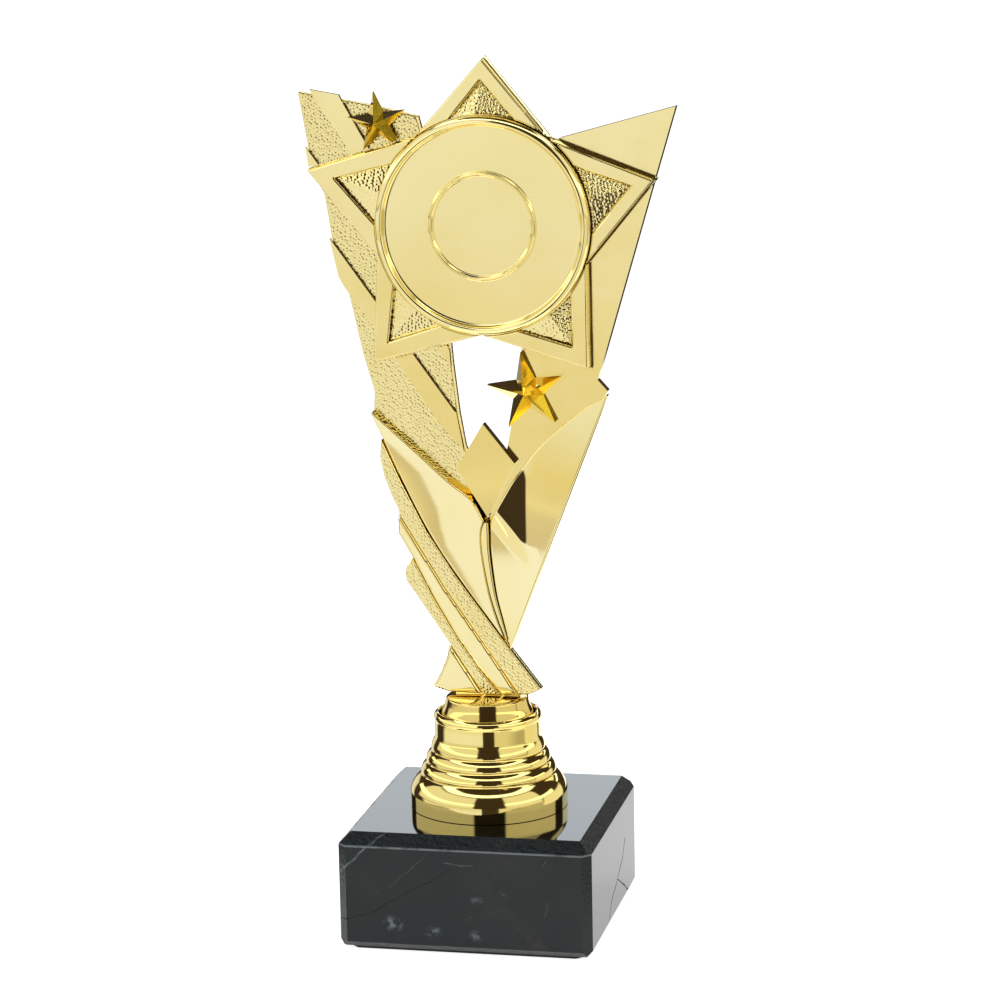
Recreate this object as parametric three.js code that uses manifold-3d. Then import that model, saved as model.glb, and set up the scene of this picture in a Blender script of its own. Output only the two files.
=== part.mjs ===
// Star trophy: a gold star figure on a stepped bell riser and a black marble block.
// Millimetres. +Z is up, the front faces -Y, +X is to the viewer's right.
// The origin is the middle of the underside, on the surface the trophy stands on.

import * as THREE from "three";
import { ConvexGeometry } from "three/addons/geometries/ConvexGeometry.js";
import { mergeVertices } from "three/addons/utils/BufferGeometryUtils.js";
import Module from "manifold-3d";

// ---- driving dimensions ----

const GAP = 0.3;

// Base: felt pad under a chamfered marble block.
const BLOCK_WIDTH = 65;
const PAD_THICKNESS = 0.8;
const PAD_MARGIN = 2.2;
const BLOCK_TOP = 30.5;
const TOP_CHAMFER = 3.1;
const CORNER_CHAMFER = 2.2;
const BOTTOM_CHAMFER = 1.5;

// Clamp: an M6 rod through block, riser and foot.
const BORE_RADIUS = 3.5;
const COUNTERBORE_RADIUS = 12;
const COUNTERBORE_DEPTH = 10;
const ROD_RADIUS = 2.85;
const ROD_BOTTOM = 3.2;
const ROD_TOP = 55.5;
const THREAD_CLEARANCE_RADIUS = 3.1;
const NUT_ACROSS_FLATS = 10;
const NUT_HEIGHT = 5;
const WASHER_RADIUS = 9;
const WASHER_THICKNESS = 1.6;

// Riser: a hollow stepped bell with a cup on top.
const RISER_FOOT_RADIUS = 20.1;
const RISER_WALL = 2;
const CUP_RADIUS = 12.4;
const CUP_FLOOR = 48;
const RIM_TOP = 55.4;

// Foot: the flared plug under the figure.
const FOOT_TOP = 59.2;
const FOOT_TOP_RADIUS = 10.5;
const FOOT_PLUG_RADIUS = 12;
const INSERT_RADIUS = 4.2;
const INSERT_FLANGE_RADIUS = 5.4;
const INSERT_TOP = 56.4;

// Figure: layers stacked from back to front along Y.
const CORE_BACK = 4;
const PANEL_FRONT = 1;
const RIBBON_FRONT = -0.2;
const STAR_WEB_FRONT = -0.5;
const STAR_FRONT = -3.5;
const WELL_LIP = -3.4;
const BORDER_SPREAD = 2.5;
const FACET_EDGE = -2.4;
const FACET_RIDGE = -4;
const RIM_FRONT = -5.9;
const SEAT_FRONT = -4.6;
const DIAMOND_FRONT = -2;

// Emblem holder: a round dish with a 50 mm seat and a 25 mm seat.
const HOLDER_X = 2.1;
const HOLDER_Z = 180.7;
const HOLDER_RADIUS = 27.4;
const SEAT_50_RADIUS = 25.4;
const SEAT_25_RADIUS = 12.6;
const BEAD_WIDTH = 1.2;
const BEAD_HEIGHT = 0.5;

// ---- finishes ----

function finish(name, color, metalness, roughness) {
  const material = new THREE.MeshStandardMaterial({ color, metalness, roughness });
  material.name = name;
  return material;
}

const goldSmooth = () => finish("gold_smooth", 0xe6c45a, 1, 0.16);
const goldPebbled = () => finish("gold_pebbled", 0xdcb64c, 1, 0.34);
const marbleBlack = () => finish("marble_black", 0x14181a, 0, 0.12);
const steelZinc = () => finish("steel_zinc", 0xb4b8bc, 1, 0.35);
const brassInsert = () => finish("brass_insert", 0xc49a4a, 1, 0.4);
const feltBlack = () => finish("felt_black", 0x1a1a1c, 0, 0.95);

// ---- geometry helpers ----

const wasm = await Module();
wasm.setup();

// Turns every triangle round if the closed surface faces inwards.
function facingOut(geometry) {
  const welded = weld(geometry);
  const at = welded.attributes.position;
  const index = welded.index.array;
  const a = new THREE.Vector3();
  const b = new THREE.Vector3();
  const c = new THREE.Vector3();
  let volume = 0;
  for (let i = 0; i < index.length; i += 3) {
    a.fromBufferAttribute(at, index[i]);
    b.fromBufferAttribute(at, index[i + 1]);
    c.fromBufferAttribute(at, index[i + 2]);
    volume += a.dot(b.cross(c));
  }
  if (volume < 0) {
    for (let i = 0; i < index.length; i += 3) {
      [index[i + 1], index[i + 2]] = [index[i + 2], index[i + 1]];
    }
  }
  welded.computeVertexNormals();
  return welded;
}

function weld(geometry) {
  const copy = geometry.clone();
  copy.deleteAttribute("normal");
  copy.deleteAttribute("uv");
  return mergeVertices(copy, 1e-4);
}

function toManifold(geometry) {
  const solid = facingOut(geometry);
  return new wasm.Manifold(new wasm.Mesh({
    numProp: 3,
    vertProperties: Float32Array.from(solid.attributes.position.array),
    triVerts: Uint32Array.from(solid.index.array),
  }));
}

function fromManifold(manifold) {
  const mesh = manifold.getMesh();
  const geometry = new THREE.BufferGeometry();
  geometry.setAttribute("position", new THREE.BufferAttribute(mesh.vertProperties, 3));
  geometry.setIndex(new THREE.BufferAttribute(mesh.triVerts, 1));
  geometry.computeVertexNormals();
  return geometry;
}

function cutAway(geometry, ...cutters) {
  let result = toManifold(geometry);
  for (const cutter of cutters) {
    result = result.subtract(toManifold(cutter));
  }
  return fromManifold(result);
}

const vectors = (points) => points.map(([x, z]) => new THREE.Vector2(x, z));

// Points along a smooth curve through the given corners.
function curved(points, steps = 10) {
  return new THREE.SplineCurve(vectors(points)).getPoints(steps).map((p) => [p.x, p.y]);
}

const moved = (points, dx, dz) => points.map(([x, z]) => [x + dx, z + dz]);

const scaledAbout = (points, [cx, cz], factor) =>
  points.map(([x, z]) => [cx + (x - cx) * factor, cz + (z - cz) * factor]);

// A flat plate whose outline is seen from the front, between two depths along Y.
function plate(outline, front, back) {
  const geometry = new THREE.ExtrudeGeometry(new THREE.Shape(vectors(outline)), {
    depth: back - front,
    bevelEnabled: false,
  });
  geometry.rotateX(Math.PI / 2);
  geometry.translate(0, back, 0);
  return geometry;
}

// A turned solid about the vertical axis from a closed [radius, height] profile.
function turned(profile, segments = 48) {
  const geometry = new THREE.LatheGeometry(vectors(profile), segments);
  geometry.rotateX(Math.PI / 2);
  return geometry;
}

// A turned solid about a front-to-back axis from a closed [radius, y] profile.
function turnedForward(profile, [x, z], segments = 64) {
  const geometry = new THREE.LatheGeometry(vectors(profile), segments);
  geometry.translate(x, 0, z);
  return geometry;
}

// A closed solid between two rings of equal length, each an array of Vector3.
function frustum(ringA, ringB) {
  const count = ringA.length;
  const flat = [...ringA, ...ringB].flatMap((p) => [p.x, p.y, p.z]);
  const index = [];
  for (let i = 1; i < count - 1; i += 1) {
    index.push(0, i, i + 1);
    index.push(count, count + i + 1, count + i);
  }
  for (let i = 0; i < count; i += 1) {
    const j = (i + 1) % count;
    index.push(i, count + i, count + j, i, count + j, j);
  }
  const geometry = new THREE.BufferGeometry();
  geometry.setAttribute("position", new THREE.Float32BufferAttribute(flat, 3));
  geometry.setIndex(index);
  return geometry;
}

const ringAt = (points, y) => points.map(([x, z]) => new THREE.Vector3(x, y, z));

// A leaf between two edge lines. The back is flat and the front depth follows a formula.
function leaf(edgeA, edgeB, frontDepth, back, along = 24, across = 5) {
  const curveA = new THREE.CurvePath();
  const curveB = new THREE.CurvePath();
  [[curveA, edgeA], [curveB, edgeB]].forEach(([path, edge]) => {
    vectors(edge).slice(1).forEach((point, i) => {
      path.add(new THREE.LineCurve(new THREE.Vector2(...edge[i]), point));
    });
  });
  const flat = [];
  const index = [];
  const row = across + 1;
  const size = (along + 1) * row;
  for (const isBack of [false, true]) {
    for (let i = 0; i <= along; i += 1) {
      const a = curveA.getPointAt(i / along);
      const b = curveB.getPointAt(i / along);
      for (let j = 0; j <= across; j += 1) {
        const p = a.clone().lerp(b, j / across);
        flat.push(p.x, isBack ? back : frontDepth(i / along, j / across), p.y);
      }
    }
  }
  const quad = (a, b, c, d) => index.push(a, b, c, a, c, d);
  for (let i = 0; i < along; i += 1) {
    for (let j = 0; j < across; j += 1) {
      const k = i * row + j;
      quad(k, k + row, k + row + 1, k + 1);
      quad(size + k, size + k + 1, size + k + row + 1, size + k + row);
    }
    const left = i * row;
    const right = left + across;
    quad(left, size + left, size + left + row, left + row);
    quad(right, right + row, size + right + row, size + right);
  }
  for (let j = 0; j < across; j += 1) {
    const end = along * row + j;
    quad(j, j + 1, size + j + 1, size + j);
    quad(end, size + end, size + end + 1, end + 1);
  }
  const geometry = new THREE.BufferGeometry();
  geometry.setAttribute("position", new THREE.Float32BufferAttribute(flat, 3));
  geometry.setIndex(index);
  return geometry;
}

const trophy = new THREE.Group();
trophy.name = "star_trophy";

function add(name, geometry, material) {
  const mesh = new THREE.Mesh(facingOut(geometry), material);
  mesh.name = name;
  trophy.add(mesh);
}

// ---- base and clamp ----

function chamferedSquare(half, corner) {
  const points = [];
  for (const [sx, sy] of [[1, 1], [-1, 1], [-1, -1], [1, -1]]) {
    const pair = [[sx * half, sy * (half - corner)], [sx * (half - corner), sy * half]];
    points.push(...(sx * sy > 0 ? pair : pair.reverse()));
  }
  return points;
}

const padHalf = BLOCK_WIDTH / 2 - PAD_MARGIN;
const padShape = new THREE.Shape(vectors(chamferedSquare(padHalf, CORNER_CHAMFER)));
add("felt_pad", new THREE.ExtrudeGeometry(padShape, {
  depth: PAD_THICKNESS,
  bevelEnabled: false,
}), feltBlack());

function marbleBlock() {
  const half = BLOCK_WIDTH / 2;
  const corners = [];
  const ends = [
    { face: BLOCK_TOP, chamfer: TOP_CHAMFER, inward: -1 },
    { face: PAD_THICKNESS, chamfer: BOTTOM_CHAMFER, inward: 1 },
  ];
  for (const { face, chamfer, inward } of ends) {
    const side = face + inward * chamfer;
    const mitre = CORNER_CHAMFER / 2;
    for (const [sx, sy] of [[1, 1], [-1, 1], [-1, -1], [1, -1]]) {
      const inset = half - chamfer;
      corners.push(new THREE.Vector3(sx * inset, sy * inset, face));
      corners.push(new THREE.Vector3(sx * half, sy * (half - CORNER_CHAMFER), side));
      corners.push(new THREE.Vector3(sx * (half - CORNER_CHAMFER), sy * half, side));
      if (chamfer > mitre) {
        const z = side - inward * mitre;
        corners.push(new THREE.Vector3(sx * (half - mitre), sy * (half - mitre), z));
      }
    }
  }
  const shoulder = PAD_THICKNESS + COUNTERBORE_DEPTH;
  const bore = turned([
    [0, -5],
    [COUNTERBORE_RADIUS, -5],
    [COUNTERBORE_RADIUS, shoulder],
    [BORE_RADIUS, shoulder],
    [BORE_RADIUS, BLOCK_TOP + 5],
    [0, BLOCK_TOP + 5],
  ]);
  return cutAway(new ConvexGeometry(corners), bore);
}

add("marble_base", marbleBlock(), marbleBlack());

const washerTop = PAD_THICKNESS + COUNTERBORE_DEPTH;
const washerBottom = washerTop - WASHER_THICKNESS;
add("penny_washer", turned([
  [THREAD_CLEARANCE_RADIUS + 0.1, washerBottom],
  [WASHER_RADIUS, washerBottom],
  [WASHER_RADIUS, washerTop],
  [THREAD_CLEARANCE_RADIUS + 0.1, washerTop],
  [THREAD_CLEARANCE_RADIUS + 0.1, washerBottom],
], 32), steelZinc());

function hexNut(bottom, height) {
  const corner = NUT_ACROSS_FLATS / Math.sqrt(3);
  const hexagon = [];
  for (let i = 0; i < 6; i += 1) {
    const angle = (i * Math.PI) / 3;
    hexagon.push([corner * Math.cos(angle), corner * Math.sin(angle)]);
  }
  const shape = new THREE.Shape(vectors(hexagon));
  const hole = new THREE.Path();
  hole.absarc(0, 0, THREAD_CLEARANCE_RADIUS, 0, Math.PI * 2, true);
  shape.holes.push(hole);
  const geometry = new THREE.ExtrudeGeometry(shape, {
    depth: height,
    bevelEnabled: false,
    curveSegments: 32,
  });
  geometry.translate(0, 0, bottom);
  return geometry;
}

add("hex_nut", hexNut(washerBottom - NUT_HEIGHT, NUT_HEIGHT), steelZinc());

add("tie_rod", turned([
  [0, ROD_BOTTOM],
  [ROD_RADIUS - 0.6, ROD_BOTTOM],
  [ROD_RADIUS, ROD_BOTTOM + 0.6],
  [ROD_RADIUS, ROD_TOP - 0.6],
  [ROD_RADIUS - 0.6, ROD_TOP],
  [0, ROD_TOP],
], 24), steelZinc());

// ---- riser and foot ----

// The four tiers of the bell from the bottom up. Each swells out of a tight crease above it
// and rounds over to an upright side.
const bellTiers = [
  [[20.1, 34], [20, 35.2], [19.6, 36.5], [18.95, 37.6], [18.15, 38.5], [17.3, 39.2]],
  [[17.3, 39.5], [17.25, 40.2], [17, 40.9], [16.55, 41.5], [16, 42]],
  [[16.02, 42.3], [16, 43], [15.9, 43.8], [15.65, 44.6], [15.2, 45.25], [14.7, 45.7]],
  [[14.72, 46], [14.68, 46.8], [14.45, 47.6], [14, 48.5], [13.62, 49.3]],
];

function riserProfile() {
  const outside = [[RISER_FOOT_RADIUS, BLOCK_TOP]];
  for (const tier of bellTiers) {
    outside.push(...tier);
  }
  outside.push([13.75, 53.2]);
  outside.push(...curved([[13.85, 53.3], [13.9, 53.9], [13.6, 54.6], [13, RIM_TOP], [CUP_RADIUS, 55]], 6));
  const inside = [
    [CUP_RADIUS, CUP_FLOOR],
    [BORE_RADIUS, CUP_FLOOR],
    [BORE_RADIUS, CUP_FLOOR - RISER_WALL],
    [12, CUP_FLOOR - RISER_WALL],
    [13.6, 43],
    [15.4, 38.5],
    [RISER_FOOT_RADIUS - RISER_WALL, 35],
    [RISER_FOOT_RADIUS - RISER_WALL, BLOCK_TOP],
  ];
  return [...outside, ...inside, outside[0]];
}

add("bell_riser", turned(riserProfile()), goldSmooth());

add("figure_foot", turned([
  [0, INSERT_TOP],
  [INSERT_FLANGE_RADIUS + GAP, INSERT_TOP],
  [INSERT_FLANGE_RADIUS + GAP, INSERT_TOP - 2],
  [INSERT_RADIUS + GAP, INSERT_TOP - 2],
  [INSERT_RADIUS + GAP, CUP_FLOOR],
  [FOOT_PLUG_RADIUS - 0.6, CUP_FLOOR],
  [FOOT_PLUG_RADIUS, CUP_FLOOR + 0.6],
  [FOOT_PLUG_RADIUS, 54],
  ...curved([[11.8, 55.2], [11.35, 56.2], [11, 57.1], [10.75, 58.1], [FOOT_TOP_RADIUS + 0.1, 58.8]], 6),
  [FOOT_TOP_RADIUS - 0.2, FOOT_TOP],
  [0, FOOT_TOP],
]), goldSmooth());

function insertProfile() {
  const profile = [
    [THREAD_CLEARANCE_RADIUS, CUP_FLOOR],
    [INSERT_RADIUS, CUP_FLOOR],
  ];
  for (const groove of [50, 52]) {
    profile.push([INSERT_RADIUS, groove]);
    profile.push([INSERT_RADIUS - 0.5, groove + 0.3]);
    profile.push([INSERT_RADIUS - 0.5, groove + 0.9]);
    profile.push([INSERT_RADIUS, groove + 1.2]);
  }
  profile.push([INSERT_RADIUS, INSERT_TOP - 1.6]);
  profile.push([INSERT_FLANGE_RADIUS, INSERT_TOP - 1.6]);
  profile.push([INSERT_FLANGE_RADIUS, INSERT_TOP]);
  profile.push([THREAD_CLEARANCE_RADIUS, INSERT_TOP]);
  profile.push([THREAD_CLEARANCE_RADIUS, CUP_FLOOR]);
  return profile;
}

add("threaded_insert", turned(insertProfile(), 28), brassInsert());

// ---- star and emblem holder ----

const centre = [HOLDER_X, HOLDER_Z];

const onCircle = (radius, degrees) => [
  HOLDER_X + radius * Math.cos((degrees * Math.PI) / 180),
  HOLDER_Z + radius * Math.sin((degrees * Math.PI) / 180),
];

// Each arm has a tip, the notch that follows it anticlockwise, and a pebbled triangle
// with its own apex and three bearings on the holder's rim: one end, ridge, other end.
const arms = [
  { name: "top", tip: [2.6, 222.6], notch: [-15.4, 202.7], apex: [2.1, 216.8], at: [72, 93, 107] },
  { name: "left", tip: [-43.4, 194.4], notch: [-25.7, 172.9], apex: [-35.7, 192.4], at: [146, 163, 180] },
  { name: "lower_left", tip: [-27.2, 145.3], notch: [1.1, 152.7], apex: [-22.8, 151.1], at: [213, 230, 246] },
  { name: "lower_right", tip: [28.6, 144.5], notch: [28.5, 171.3], apex: [24.3, 150.6], at: [288, 306, 323] },
  { name: "right", tip: [45.9, 192.4], notch: [19, 202.6], apex: [39.8, 190.8], at: [356, 374, 393] },
];

const starOutline = arms.flatMap(({ tip, notch }) => [tip, notch]);
const starKeepOut = plate(scaledAbout(starOutline, centre, 1.01), -12, 6);

const WELL_RADIUS = HOLDER_RADIUS + 2 * GAP;

// The middle of the triangle between an arm's apex and its two ends on the rim.
function wellMiddle({ apex, at }) {
  const corners = [apex, onCircle(WELL_RADIUS, at[0]), onCircle(WELL_RADIUS, at[2])];
  return [0, 1].map((k) => (corners[0][k] + corners[1][k] + corners[2][k]) / 3);
}

// The well runs on inwards so that it opens into the holder's round pocket.
function wellOutline({ apex, at }) {
  const inside = HOLDER_RADIUS - 3;
  return [
    apex,
    onCircle(WELL_RADIUS, at[0]),
    onCircle(inside, at[0]),
    onCircle(inside, at[2]),
    onCircle(WELL_RADIUS, at[2]),
  ];
}

function starFrame() {
  const pocketRadius = HOLDER_RADIUS + GAP;
  const pocket = turnedForward([
    [0, STAR_FRONT - 2],
    [pocketRadius, STAR_FRONT - 2],
    [pocketRadius, STAR_WEB_FRONT],
    [0, STAR_WEB_FRONT],
  ], centre);
  const cutters = [pocket];
  for (const arm of arms) {
    const well = wellOutline(arm);
    const wide = scaledAbout(well, wellMiddle(arm), BORDER_SPREAD);
    cutters.push(frustum(ringAt(wide, 2 * STAR_FRONT - WELL_LIP), ringAt(well, WELL_LIP)));
    cutters.push(plate(well, STAR_FRONT, STAR_WEB_FRONT));
  }
  return cutAway(plate(starOutline, STAR_FRONT, PANEL_FRONT), ...cutters);
}

add("star_frame", starFrame(), goldSmooth());

// A low ridged wedge that fills the well of one arm.
function armFacet(arm) {
  const [first, ridge, last] = arm.at.map((bearing) => onCircle(WELL_RADIUS, bearing));
  const sides = scaledAbout([arm.apex, first, last], wellMiddle(arm), 0.93);
  const outline = [sides[0], sides[1], ridge, sides[2]];
  const front = ringAt(outline, FACET_EDGE);
  front[2].y = FACET_RIDGE;
  return frustum(front, ringAt(outline, STAR_WEB_FRONT));
}

for (const arm of arms) {
  add(`arm_facet_${arm.name}`, armFacet(arm), goldPebbled());
}

add("emblem_holder", turnedForward([
  [0, SEAT_FRONT],
  [SEAT_25_RADIUS - 0.1, SEAT_FRONT],
  [SEAT_25_RADIUS + BEAD_WIDTH * 0.25, SEAT_FRONT - BEAD_HEIGHT],
  [SEAT_25_RADIUS + BEAD_WIDTH * 0.75, SEAT_FRONT - BEAD_HEIGHT],
  [SEAT_25_RADIUS + BEAD_WIDTH, SEAT_FRONT],
  [SEAT_50_RADIUS - 0.9, SEAT_FRONT],
  [SEAT_50_RADIUS, SEAT_FRONT - 0.3],
  [SEAT_50_RADIUS + 0.5, RIM_FRONT + 0.2],
  [SEAT_50_RADIUS + 1, RIM_FRONT],
  [HOLDER_RADIUS - 0.5, RIM_FRONT],
  [HOLDER_RADIUS, RIM_FRONT + 0.5],
  [HOLDER_RADIUS, STAR_WEB_FRONT],
  [SEAT_50_RADIUS - 1, STAR_WEB_FRONT],
  [SEAT_50_RADIUS - 1, SEAT_FRONT + 1.6],
  [0, SEAT_FRONT + 1.6],
], centre), goldSmooth());

// ---- wings and ribbons ----

const holeLeftEdge = [[-8.2, 152], [-8, 149.7], [-7.6, 144.7], [-6.2, 132.1], [-4.8, 123.8]];
const leftContour = [
  [-28.2, 133.1], [-27.9, 137.5], [-30.7, 147.5], [-34, 162.9], [-35.8, 167],
  [-38, 177], [-39.5, 187.4], [-42.6, 194.9], [-43.5, 199.9],
];

add("wing_left", plate([
  [-45.7, 213.4], [-34.4, 211.4], [-27.2, 210.1], [-15.2, 207.4], [-14.6, 205.1],
  [-12, 195], [-12, 162], ...holeLeftEdge, [-3.5, 120.4], [1.4, 111],
  [0.9, 101.2], [-8.1, 111.2], [-22.2, 123.4], [-26.2, 128.4], ...leftContour,
], PANEL_FRONT, CORE_BACK), goldPebbled());

const wingRightOutline = [
  [50.2, 210], [43.7, 188.3], [29.8, 141.5], [32.3, 138.7], [31.3, 137],
  [27, 131.9], [15.8, 120.5], [8, 109.6], [1.4, 101.4], [1.7, 111], [4.6, 119.6],
  [6.1, 122.6], [7.3, 128.7], [10.6, 150.5], [12, 168], [14, 198], [21, 202.1],
];

add("wing_right", plate(wingRightOutline, PANEL_FRONT, CORE_BACK), goldSmooth());

// A strip lying on the left wing and stopping short of the star.
function ribbon(outline) {
  return cutAway(plate(outline, RIBBON_FRONT, PANEL_FRONT), starKeepOut);
}

const ribbons = {
  ribbon_top: [[-42.4, 214.2], [-34.9, 212.9], [-34.2, 211.4], [-25, 195], [-29.8, 194.5]],
  ribbon_middle_upper: [[-43.9, 199.9], [-38.5, 192.4], [-41, 191.5], [-43.2, 194.9]],
  ribbon_middle_lower: [[-18, 163], [-7.9, 148.8], [-7.6, 144.6], [-21, 162]],
  ribbon_long_upper: [[-38.3, 176.8], [-23, 155.6], [-25.5, 151.9], [-34.6, 164.2], [-36.2, 167]],
  ribbon_long_lower: [[-20.2, 151.4], [-6.4, 132.3], [-4.7, 122.9], [-11.4, 130.6], [-24, 149.4]],
};

for (const [name, outline] of Object.entries(ribbons)) {
  add(name, ribbon(outline), goldSmooth());
}

// ---- diamond and small stars ----

add("diamond_plate", plate([
  [0.7, 130.3], [-6.3, 118.7], [1.5, 106.2], [8.7, 120.3],
], DIAMOND_FRONT, PANEL_FRONT), goldSmooth());

// A five-pointed star whose faces rise to a point in the middle. Its inner corners lie
// a little deeper than its tips.
function facetedStar([x, z], radius, lean, front, innerFront, back, height) {
  const rim = [];
  for (let i = 0; i < 10; i += 1) {
    const isTip = i % 2 === 0;
    const reach = isTip ? radius : radius * 0.4;
    const angle = ((90 + lean + i * 36) * Math.PI) / 180;
    rim.push([
      x + reach * Math.cos(angle),
      z + reach * Math.sin(angle),
      isTip ? front : innerFront,
    ]);
  }
  const flat = [x, front - height, z, x, back, z];
  const index = [];
  for (const [px, pz, depth] of rim) {
    flat.push(px, depth, pz, px, back, pz);
  }
  for (let i = 0; i < 10; i += 1) {
    const a = 2 + 2 * i;
    const b = 2 + 2 * ((i + 1) % 10);
    index.push(0, a, b, 1, b + 1, a + 1, a, a + 1, b + 1, a, b + 1, b);
  }
  const geometry = new THREE.BufferGeometry();
  geometry.setAttribute("position", new THREE.Float32BufferAttribute(flat, 3));
  geometry.setIndex(index);
  return geometry;
}

const upperStar = facetedStar([-24.8, 206], 7.8, 7, -1.4, -0.9, RIBBON_FRONT, 3.8);
add("small_star_upper", cutAway(upperStar, starKeepOut), goldSmooth());
const lowerStar = facetedStar([12, 138.4], 10.3, 8, -1.4, 0, PANEL_FRONT, 3.8);
add("small_star_lower", lowerStar, goldSmooth());

// ---- lower body ----

// Lines shared by neighbouring bands, from upper left to lower right.
const leafLine = [
  [-25.6, 125.8], [-20.7, 114.9], [-14.4, 102.4], [-7.2, 91.2], [3.8, 76.2], [7.2, 71.6],
];
const sashLineA = [[-21.4, 106.2], [-9.9, 87.3], [2.1, 69.9], [8.6, 60]];
const sashLineB = [[-18.2, 94.8], [-13, 84.6], [-7.2, 74.5], [-1.6, 66.4], [4, 59.6]];
const sashLineC = [[-20.2, 88.9], [-14.6, 80.6], [-8.9, 72], [-0.9, 59.6]];

add("core_plate", plate([
  [-8.5, FOOT_TOP], [8.5, FOOT_TOP], [5, 72.4], [27.2, 131.2], [15.8, 119.8],
  [8, 108.9], [1, 100.2], [-8.3, 110.5], [-22.2, 122.5], [-21.4, 115],
  [-18.8, 106], [-16.4, 91], [-6.8, 73],
], PANEL_FRONT, CORE_BACK), goldSmooth());

add("sash_upper", plate([
  [-25.8, 125.2], [-26.2, 121.3], [-25.1, 115.8], [-23, 110.4], [-21.8, 108],
  ...sashLineA, [11.4, 60.3], [14.5, 61.7], ...moved(leafLine, -0.2, -0.15).reverse(),
], -2, PANEL_FRONT), goldPebbled());

add("sash_middle", plate([
  [-22, 105.3], [-21.9, 101.3], ...sashLineB,
  ...moved(sashLineA, -0.35, 0).reverse(),
], -1.4, PANEL_FRONT), goldSmooth());

add("sash_lower", plate([
  [-18.7, 94.8], [-20.1, 92.8], [-20.6, 90.8], ...sashLineC,
  ...moved(sashLineB, -0.35, 0).reverse(),
], -1, PANEL_FRONT), goldPebbled());

add("side_fin", plate([
  [-9.8, 71.6], [-10.1, 69.4], [-12.1, 64.6], [-14.1, 61.2], [-10, 59.9],
  ...moved(sashLineC.slice(2), -0.35, 0).reverse(),
], -0.6, PANEL_FRONT), goldSmooth());

const stemLeft = curved([[0.7, 105.2], [-0.1, 102.6], [0, 96.9], [1.6, 87], [3.7, 79.5], [5.3, 75.2]]);
const stemRight = curved([[2, 105.2], [2.1, 102.6], [2.2, 97], [3.4, 86.8], [5.1, 79.5], [6.4, 74.1]]);

add("stem_strip", leaf(
  moved(stemLeft, 0.15, 0),
  moved(stemRight, -0.15, 0),
  (u, v) => -4.4 + 1.9 * u - 0.3 * Math.sin(Math.PI * v),
  PANEL_FRONT,
  12,
  2,
), goldSmooth());

add("leaf_left", leaf(
  [[-28.4, 132.2], ...moved(leafLine.slice(0, 5), 0.2, 0.15)],
  [
    [-28.1, 132.7],
    ...curved([[-26.5, 131.1], [-17, 122.9], [-8.2, 115.1], [-2.6, 110.8], [0.5, 105.6]]),
    ...moved(stemLeft, -0.15, 0),
  ],
  (u, v) => -0.9 - 2.6 * Math.sin(Math.PI * Math.min(1, 0.08 + u * 0.9)) * (0.35 + 0.65 * v),
  PANEL_FRONT,
), goldSmooth());

add("blade_right", leaf(
  [
    [32.3, 138.1],
    ...curved([[31.6, 137.4], [26.8, 134.6], [17, 126.5], [9.6, 117.7], [5.5, 111.1], [2.3, 105.3]]),
    ...moved(stemRight, 0.15, 0),
  ],
  [[32.7, 137.9], [6.9, 72.1]],
  (u, v) => -0.9 - 2.6 * Math.sin(Math.PI * Math.min(1, 0.08 + u * 0.9)) * (1 - 0.65 * v),
  PANEL_FRONT,
), goldSmooth());

export default trophy;
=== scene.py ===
"""Star trophy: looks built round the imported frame. Lengths in this script are millimetres
unless a name ends in _M, and are scaled to metres where a mesh is made."""

import math

import bmesh
import bpy
import numpy as np
from mathutils import Matrix, Vector
from mathutils.geometry import delaunay_2d_cdt


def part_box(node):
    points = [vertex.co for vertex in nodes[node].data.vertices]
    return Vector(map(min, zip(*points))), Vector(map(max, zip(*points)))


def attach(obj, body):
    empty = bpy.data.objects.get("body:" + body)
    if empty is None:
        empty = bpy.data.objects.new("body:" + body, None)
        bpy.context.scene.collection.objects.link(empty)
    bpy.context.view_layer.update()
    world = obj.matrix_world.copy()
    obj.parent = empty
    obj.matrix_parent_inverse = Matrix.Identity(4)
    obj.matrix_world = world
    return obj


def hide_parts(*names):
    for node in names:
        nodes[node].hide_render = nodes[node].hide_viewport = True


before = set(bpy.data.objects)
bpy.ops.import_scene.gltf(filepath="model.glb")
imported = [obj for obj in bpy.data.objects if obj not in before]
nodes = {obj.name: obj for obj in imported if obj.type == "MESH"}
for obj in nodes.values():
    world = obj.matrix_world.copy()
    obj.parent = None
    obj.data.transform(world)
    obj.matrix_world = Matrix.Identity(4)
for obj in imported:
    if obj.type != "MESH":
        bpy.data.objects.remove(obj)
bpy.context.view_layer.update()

MM = 0.001

# ---- camera ----

CAMERA_AZIMUTH = 12.37
CAMERA_ELEVATION = 11.72
CAMERA_ROLL = -1.14
CAMERA_DISTANCE = 887.12
CAMERA_TARGET = (4.36, 0.0, 110.41)
CAMERA_LENS = 126.0
SENSOR_WIDTH = 36.0


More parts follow.
